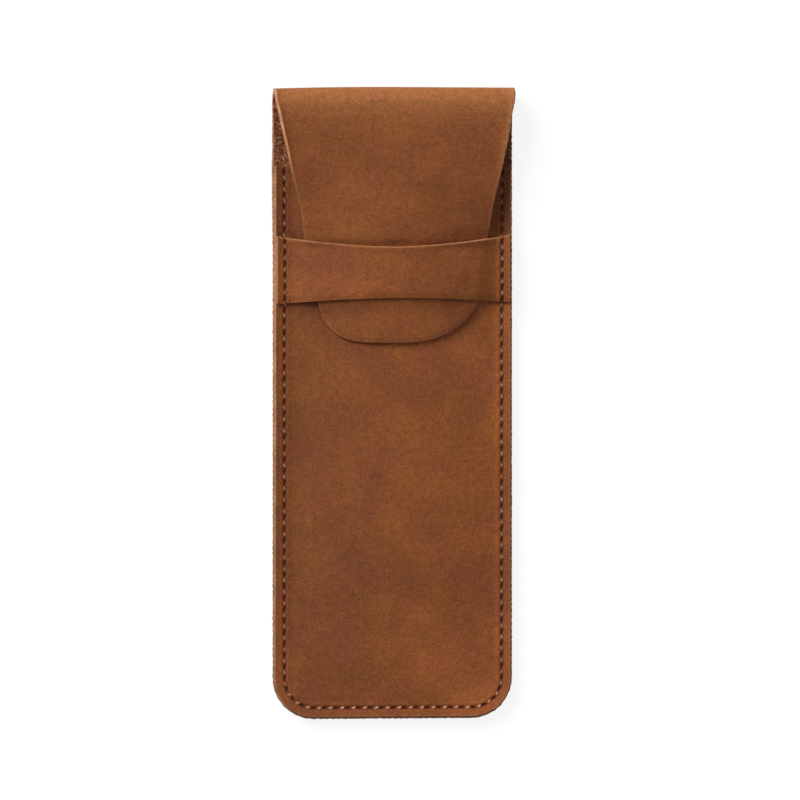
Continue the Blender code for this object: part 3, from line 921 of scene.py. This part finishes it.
class PENCILCASE_OT_flap_leather(bpy.types.Operator):
    """Carry the leather over the bend and down the front to the rounded tongue"""

    bl_idname = "pencilcase.flap_leather"
    bl_label = "Flap Leather"

    def side_half(self, shape, y, reach, rise, across, down, bow, bow_start, bow_length):
        """Half width on one side: the corner of the tongue, then the bowed cut edge."""
        above = y - shape.tip_y
        share = near(above, rise) ** (down / 2.0)
        rounded = reach * (1.0 - share * share) ** (1.0 / across)
        tall = ease(above - 0.95 * shape.tongue, length=4.0 * MM)
        half = rounded + (shape.flap_half(y) - rounded) * tall
        past_tongue = ease(above - shape.tongue - 4.0 * MM, length=8.0 * MM)
        return half + bow * ease(shape.top_y - y - bow_start, bow_length) * past_tongue

    def outline(self, shape):
        """Rows of the flap as running length, and width to either side."""
        turns = np.linspace(RIGHT_ANGLE, math.pi, BEND_ROWS)
        bend_run = shape.bend_y + shape.bend * turns
        bend_half = shape.flap_half(shape.bend_point(turns)[0])
        tongue_y = shape.tip_y + shape.tongue
        count = round((shape.bend_y - tongue_y) / FLAP_ROW_STEP)
        straight = np.linspace(shape.bend_y, tongue_y, count + 1)[1:]
        tip_turns = np.linspace(0.0, math.radians(89.0), TONGUE_ROWS)[1:]
        y = np.append(straight, tongue_y - shape.tongue * np.sin(tip_turns) ** 1.4)
        run = np.append(bend_run, bend_run[-1] + shape.bend_y - y)
        left = np.append(bend_half, self.side_half(shape, y, **LEFT_CORNER, **LEFT_BOW))
        right = np.append(bend_half, self.side_half(shape, y, **RIGHT_CORNER, **RIGHT_BOW))
        return run, left, right

    def tone(self, shape, x, y, on_bend):
        """Lighter to the right and on the tongue, with painted shadow along the strap."""
        tip = np.where(on_bend, 0.0, ease(shape.strap_bottom_y - 0.3 * MM - y, 6.0 * MM))
        tone = 0.967 + 0.055 * x / shape.half_width + 0.05 * tip
        return tone * np.where(on_bend, 1.0, shape.strap_painted_shadow(x, y))

    def execute(self, context):
        shape, colours = case_settings(context)
        rows, left, right = self.outline(shape)
        halves = (right + left) / 2
        plan, quads, loop = strip_layout(rows, halves, (right - left) / 2, FLAP_COLUMNS)
        x, run = plan.T
        join_run, flat_run = shape.bend_y + shape.bend * np.array((RIGHT_ANGLE, math.pi))
        angle = np.clip((run - shape.bend_y) / shape.bend, RIGHT_ANGLE, math.pi)
        bend_y, bend_z = shape.bend_point(angle)
        on_bend = run < flat_run
        flat_y = shape.bend_y - (run - flat_run)
        uneven = ripple(x, flat_y, height=0.10 * MM, length=27.0 * MM, seed=2.1)
        uneven = uneven * ease(run - flat_run, length=10.0 * MM)
        z = np.where(on_bend, bend_z, shape.flap_top(x, flat_y) + uneven)
        cut = distance_to_loop(plan, plan[loop])
        cut = np.where(run < join_run + 6.0 * MM, halves.max() - abs(x), cut)
        edge = near(cut, reach=2.0 * MM)
        turned = smooth_step((angle - RIGHT_ANGLE) / 0.8)
        turned = turned * ease(flat_y - shape.strap_top_y - 5.0 * MM, length=24.0 * MM)
        lift = FLAP_CURL * edge**2 * turned
        held = ease(shape.strap_top_y + 1.5 * MM - flat_y, length=1.5 * MM)
        bevel = FLAP_BEVEL * near(cut, reach=1.4 * MM) ** 2 * np.where(on_bend, 0.0, held)
        slanting = ease(flat_run + 14.0 * MM - run, length=14.0 * MM)
        x = x - np.sign(x) * FLAP_CURL * edge * turned
        y = np.where(on_bend, bend_y, flat_y) + shape.slant(x, slanting) + lift * np.sin(angle)
        skin = np.stack([x, y, z - lift * np.cos(angle) - bevel], axis=1)
        over_front = ~on_bend & (flat_y < shape.mouth_y)
        inward = inward_normals(skin, quads, up=False, rows=over_front)
        joined = run < join_run + JOIN_MARGIN
        inward[joined] = (0.0, -1.0, 0.0)
        free = np.where(flat_y < shape.strap_top_y, 0.45, 1.0)
        soft = np.where(joined, 0.0, free)[loop]
        past_bend = np.maximum(0.0, run - flat_run + 0.6 * MM)
        below_top = shape.top_y - np.where(on_bend, shape.top_y, flat_y)
        marks = {
            "tone": self.tone(shape, x, flat_y, on_bend),
            # Painted light on the cut edge near the top of the flap, fading to painted shade
            # further down.
            "edge_tone": 1.16 - 0.72 * ease(below_top - 12.0 * MM, length=15.0 * MM),
            "cut_gap": np.maximum(cut, 0.0),
            "bend": 0.70 * np.exp(-past_bend / (3.6 * MM)),
        }
        materials = leather_materials("flap leather", colours, shape.pitch, warm=0.32)
        sheet = ("flap_leather", skin, quads, loop, inward)
        piece = leather_piece(*sheet, shape.thickness - bevel, soft, plan.T, marks, materials)
        start = shape.bend_point(math.radians(98.0))
        end = shape.bend_point(math.radians(172.0))
        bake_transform(piece)
        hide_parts("flap", "flap_fold")
        return {"FINISHED"}


class PENCILCASE_OT_front_leather(bpy.types.Operator):
    """Sew on the domed front panel, open at its mouth"""

    bl_idname = "pencilcase.front_leather"
    bl_label = "Front Leather"

    def tone(self, shape, x, y, edge):
        """Painted light and shade: lighter to the right, at the top and at the bottom, with
        painted shade beside the tongue, in the flap's shadow and along the strap.
        """
        upper = ease(y + 15.0 * MM, length=25.0 * MM)
        lower = ease(-45.0 * MM - y, length=20.0 * MM)
        flange = ease(shape.inset + 0.3 * MM - edge, length=0.6 * MM)
        flange = flange * np.where(x > 0.0, 0.9, 0.25)
        aside = np.clip(x / shape.half_width, -0.75, 0.85) * (1.0 - flange)
        # Painted light against the dome's shading by the key lamp from the left: lighter to the
        # right, most at the top.
        tone = 1.0 + 0.08 * upper + 0.15 * lower + (0.21 + 0.22 * upper) * aside
        # Painted shade to the right of the tongue, below the strap.
        tongue_painted_shade = ease(y - 12.0 * MM, length=8.0 * MM) * (y < shape.strap_top_y - 3.0 * MM)
        tone = tone * (1.0 - 0.17 * tongue_painted_shade * smooth_step(aside / 0.6))
        return tone * shape.flap_painted_shadow(x, y) * shape.strap_painted_shadow(x, y)

    def execute(self, context):
        shape, colours = case_settings(context)
        count = round((shape.mouth_y - shape.corner_y) / shape.step)
        rows = np.linspace(shape.mouth_y, shape.corner_y, count)
        plan, quads, loop, at_top = panel_layout(shape, rows)
        x, y = plan.T
        leaned = shape.leaned(x, y, shape.flange_top)
        skin = np.stack([*leaned, shape.front_skin(x, y)], axis=1)
        inward = inward_normals(skin, quads, up=False)
        edge = shape.cut_gap(x, y)
        swell = 0.22 * MM * (1.0 - ease(edge - shape.inset, length=2.0 * MM))
        soft = np.where(at_top, 0.6, 1.0)
        marks = {
            "tone": self.tone(shape, x, y, edge),
            "edge_tone": shape.edge_tone(x, y),
            "cut_gap": np.minimum(edge, shape.mouth_y - y),
            "seam_gap": shape.seam_gap(x, y),
            "seam_run": shape.seam_run(x, y),
        }
        materials = leather_materials("front leather", colours, shape.pitch)
        sheet = ("front_leather", skin, quads, loop, inward)
        piece = leather_piece(*sheet, shape.thickness + swell, soft, (x, y), marks, materials)
        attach(piece, "case")
        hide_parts("front_panel")
        return {"FINISHED"}


class PENCILCASE_OT_strap_leather(bpy.types.Operator):
    """Stretch the strap over the flap, with its long edges turned up"""

    bl_idname = "pencilcase.strap_leather"
    bl_label = "Strap Leather"

    def tone(self, shape, x):
        """Painted light and shade: darker towards the right end and at the very left end, with
        steps near the right end that even out the shading where the strap falls to the flange.
        """
        aside = x / shape.half_width
        tone = 1.0 - 0.09 * smooth_step((aside - 0.50) / 0.16)
        tone = tone - 0.16 * smooth_step((aside - 0.85) / 0.05)
        tone = tone + 0.06 * smooth_step((aside - 0.915) / 0.02)
        return tone - 0.11 * smooth_step((-aside - 0.86) / 0.06)

    def execute(self, context):
        shape, colours = case_settings(context)
        reach = shape.half_width - 0.15 * MM
        stations = np.linspace(-reach, reach, STRAP_STATIONS)
        upper_edge, lower_edge = shape.strap_edges(stations)
        halves = (upper_edge - lower_edge) / 2 - 0.12 * MM
        centre = (upper_edge + lower_edge) / 2
        turned, quads, loop = strip_layout(stations, halves, centre, STRAP_ROWS)
        y, x = turned.T
        middle = np.interp(x, stations, centre)
        edge = np.interp(x, stations, halves) - np.abs(y - middle)
        upper = y > middle
        free = ease(shape.half_width - 5.5 * MM - np.abs(x), length=7.0 * MM)
        turn_up = STRAP_CURL * upper * near(edge, reach=2.6 * MM) ** 2 * free
        bevel = STRAP_BEVEL * ~upper * near(edge, reach=2.0 * MM) ** 2
        gap = shape.half_width - np.abs(x) - shape.inset
        run = shape.seam_run(x, y)
        z = shape.strap_top(x, y) + turn_up + shape.curl(x, y)
        z = z - shape.seam_dip(gap, shape.hole_gap(run)) - bevel
        z = z + free * ripple(x, y, height=0.08 * MM, length=17.0 * MM, seed=0.7)
        leaned = shape.leaned(x, y, shape.flange_top + shape.thickness)
        skin = np.stack([*leaned, z], axis=1)
        inward = inward_normals(skin, quads, up=False)
        inward[:, 1] += (0.21 - inward[:, 1]) * near(edge, reach=0.9 * MM) * upper
        thickness = shape.thickness + 0.2 * MM * (1.0 - free) - bevel
        soft = np.where(upper[loop], 0.85, 0.45)
        end_gap = reach - np.abs(x)
        at_end = ease(0.5 * MM - end_gap, length=0.4 * MM)
        # Painted shade on the lower cut edge, and at the ends the case's painted edge shading.
        edge_tone = np.where(upper, 0.92, 0.70)
        edge_tone = edge_tone + (1.1 * shape.edge_tone(x, y) - edge_tone) * at_end
        marks = {
            "tone": self.tone(shape, x),
            "edge_tone": edge_tone,
            "cut_gap": np.maximum(np.minimum(edge, end_gap), 0.0),
            "seam_gap": gap,
            "seam_run": run,
        }
        hide = (x, y + STRAP_HIDE_OFFSET)
        materials = leather_materials("strap leather", colours, shape.pitch, level=1.09, warm=0.65)
        sheet = ("strap_leather", skin, quads, loop, inward)
        piece = leather_piece(*sheet, thickness, soft, hide, marks, materials)
        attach(piece, "case")
        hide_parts("strap")
        return {"FINISHED"}


def stitch_row(name, shape, height, up, material):
    """Every stitch of one thread, each sunk in its holes and proud between them."""
    sides, steps = STITCH_SIDES, STITCH_STEPS
    chance = np.random.default_rng(len(name))
    points, faces, hides, prouds, tones = [], [], [], [], []
    last_hole = shape.stitches - 1
    row = [(number + 0.5, 0.0) for number in range(last_hole)]
    for number in range(BACKTACK_COUNT):
        first = number + 0.5 + BACKTACK_SHIFT
        row += [(first, BACKTACK_BESIDE), (last_hole - first, BACKTACK_BESIDE)]
    for first, beside in row:
        slack = chance.uniform(0.85, 1.12)
        lean = chance.uniform(0.7, 1.3)
        start = len(points)
        for step in range(steps + 1):
            share = step / steps
            run = (first + 0.06 + 0.88 * share) * shape.pitch
            x, y, along_x, along_y = shape.seam_point(run)
            across = Vector((-along_y, along_x, 0.0))
            sway = STITCH_LEAN * (share - 0.5) * 2.0 * lean + beside
            arch = math.sin(math.pi * share)
            lift = STITCH_ARCH * arch**0.75 * slack - STITCH_SINK
            centre = Vector((x, y, height(x, y) + up * lift)) + across * sway
            thick = shape.thread * (0.70 + 0.30 * arch)
            # Painted light and shade: the bottom row lighter than the side rows, as the light
            # falls from the top, and the flap's painted shadow.
            tone = (0.66 + 0.56 * along_x**2) * float(shape.flap_painted_shadow(x, y))
            for corner in range(sides):
                angle = math.tau * corner / sides
                reach = thick * (1.0 + 0.14 * math.cos(3.0 * (angle - 3.4 * share)))
                point = centre + across * (reach * math.cos(angle))
                point.z = max(point.z + up * reach * math.sin(angle) * 0.85, 0.01 * MM)
                points.append(point)
                hides.append((point.x, point.y, angle * 0.1 * MM))
                prouds.append(arch)
                tones.append(tone)
        ring = np.arange(start, len(points)).reshape(steps + 1, sides)
        faces += grid_quads(np.column_stack([ring, ring[:, 0]]).T).tolist()
        faces += [ring[0, ::-1].tolist(), ring[-1].tolist()]
    mesh = bpy.data.meshes.new(name)
    mesh.from_pydata(points, [], faces)
    for key, value in (("hide", hides), ("proud", prouds), ("tone", tones)):
        store(mesh, key, value)
    return show(name, mesh, [material])


class PENCILCASE_OT_needle_stitches(bpy.types.Operator):
    """Sew the front row of stitches, over the flange and the ends of the strap"""

    bl_idname = "pencilcase.needle_stitches"
    bl_label = "Needle Stitches"

    def execute(self, context):
        shape, colours = case_settings(context)
        side_x = shape.half_width - shape.inset
        left_edges, right_edges = shape.strap_edges(-side_x), shape.strap_edges(side_x)

        def height(x, y):
            upper, lower = left_edges if x < 0 else right_edges
            step = ease(upper + 0.5 * MM - y, length=0.8 * MM)
            step = step * ease(y - lower + 0.5 * MM, length=0.8 * MM)
            return shape.flange_top - FRONT_ROW_SINK + shape.strap_rise * float(step)

        material = thread_material("needle thread", colours)
        piece = stitch_row("needle_stitches", shape, height, 1.0, material)
        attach(piece, "case")
        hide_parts("needle_thread")
        return {"FINISHED"}


class PENCILCASE_OT_bobbin_stitches(bpy.types.Operator):
    """Sew the back row of stitches, sunk in its groove"""

    bl_idname = "pencilcase.bobbin_stitches"
    bl_label = "Bobbin Stitches"

    def execute(self, context):
        shape, colours = case_settings(context)
        material = thread_material("bobbin thread", colours)
        piece = stitch_row("bobbin_stitches", shape, lambda x, y: BACK_ROW_SINK, -1.0, material)
        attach(piece, "case")
        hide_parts("bobbin_thread")
        return {"FINISHED"}


class PENCILCASE_OT_stage(bpy.types.Operator):
    """Set up the floor, the soft light and the camera"""

    bl_idname = "pencilcase.stage"
    bl_label = "Stage"

    def lamp(self, name, place, size, power):
        """A round soft lamp that points at the middle of the case."""
        data = bpy.data.lights.new(name, "AREA")
        data.shape = "DISK"
        data.size = size
        data.energy = power
        lamp = bpy.data.objects.new(name, data)
        lamp.location = place
        lamp.rotation_euler = (-Vector(place)).to_track_quat("-Z", "Y").to_euler()
        bpy.context.scene.collection.objects.link(lamp)

    def floor(self, colours):
        """White where it is seen, and a soft grey as a light."""
        bpy.ops.mesh.primitive_plane_add(size=8.0)
        floor = bpy.context.object
        floor.name = "floor"
        shader = Shader("floor", Roughness=0.9, Specular_IOR_Level=0.1, Emission_Strength=1.0)
        seen = shader.seen_plainly()
        shade = shader.mix(seen, tuple(colours.floor), (0.18, 0.18, 0.18))
        glow = shader.mix(seen, (0.0, 0.0, 0.0), (0.85, 0.85, 0.85))
        floor.data.materials.append(shader.finish(Base_Color=shade, Emission_Color=glow))

    def world(self):
        """White where it is seen, and softer as a light."""
        world = bpy.data.worlds.new("studio")
        bpy.context.scene.world = world
        world.use_nodes = True
        nodes = Nodes(world.node_tree)
        back = nodes.tree.nodes["Background"]
        nodes.feed(back.inputs["Color"], (1.0, 1.0, 1.0))
        nodes.feed(back.inputs["Strength"], 0.30 + 0.70 * nodes.seen_plainly())

    def camera(self):
        """A long lens almost straight above, a little to the left of the case."""
        data = bpy.data.cameras.new("camera")
        camera = bpy.data.objects.new("camera", data)
        bpy.context.scene.collection.objects.link(camera)
        bpy.context.scene.camera = camera
        image_pixels, pixels_per_metre, distance = 800, 3952.0, 1.5
        data.sensor_width = 36.0
        data.lens = data.sensor_width * distance * pixels_per_metre / image_pixels
        data.clip_end = 20.0
        lean, nod = math.radians(6.5), math.radians(0.3)
        toward = Vector((-math.sin(lean), math.sin(nod), math.cos(lean))).normalized()
        camera.location = Vector((1.52 * MM, 0.82 * MM, 4.0 * MM)) + toward * distance
        right = Vector((0.0, 1.0, 0.0)).cross(toward).normalized()
        turn = Matrix((right, toward.cross(right), toward)).transposed()
        camera.rotation_euler = turn.to_euler()

    def execute(self, context):
        context.scene.view_settings.view_transform = "Standard"
        self.floor(context.scene.pencil_case_colours)
        self.world()
        self.lamp("key", (-1.68, 1.57, 1.60), size=1.60, power=83.0)
        self.lamp("fill", (0.10, 0.20, 1.50), size=1.0, power=2.0)
        self.camera()
        return {"FINISHED"}


PIECES = (
    PENCILCASE_OT_back_leather,
    PENCILCASE_OT_front_leather,
    PENCILCASE_OT_flap_leather,
    PENCILCASE_OT_strap_leather,
    PENCILCASE_OT_needle_stitches,
    PENCILCASE_OT_bobbin_stitches,
    PENCILCASE_OT_stage,
)


class PENCILCASE_PT_sidebar(bpy.types.Panel):
    """Sizes, colours and pieces of the pencil case"""

    bl_idname = "PENCILCASE_PT_sidebar"
    bl_label = "Pencil Case"
    bl_space_type = "VIEW_3D"
    bl_region_type = "UI"
    bl_category = "Pencil Case"

    def draw(self, context):
        layout = self.layout
        for group in (context.scene.pencil_case_sizes, context.scene.pencil_case_colours):
            box = layout.box()
            for name in group.__annotations__:
                box.prop(group, name)
        for piece in PIECES:
            layout.operator(piece.bl_idname)


CLASSES = (PencilCaseSizes, PencilCaseColours, *PIECES, PENCILCASE_PT_sidebar)


def register():
    for item in CLASSES:
        bpy.utils.register_class(item)
    sizes = bpy.props.PointerProperty(type=PencilCaseSizes)
    colours = bpy.props.PointerProperty(type=PencilCaseColours)
    bpy.types.Scene.pencil_case_sizes = sizes
    bpy.types.Scene.pencil_case_colours = colours


def unregister():
    del bpy.types.Scene.pencil_case_sizes
    del bpy.types.Scene.pencil_case_colours
    for item in reversed(CLASSES):
        bpy.utils.unregister_class(item)


def main():
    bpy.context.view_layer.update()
    register()
    for piece in PIECES:
        group, name = piece.bl_idname.split(".")
        getattr(getattr(bpy.ops, group), name)()


if __name__ == "__main__":
    main()
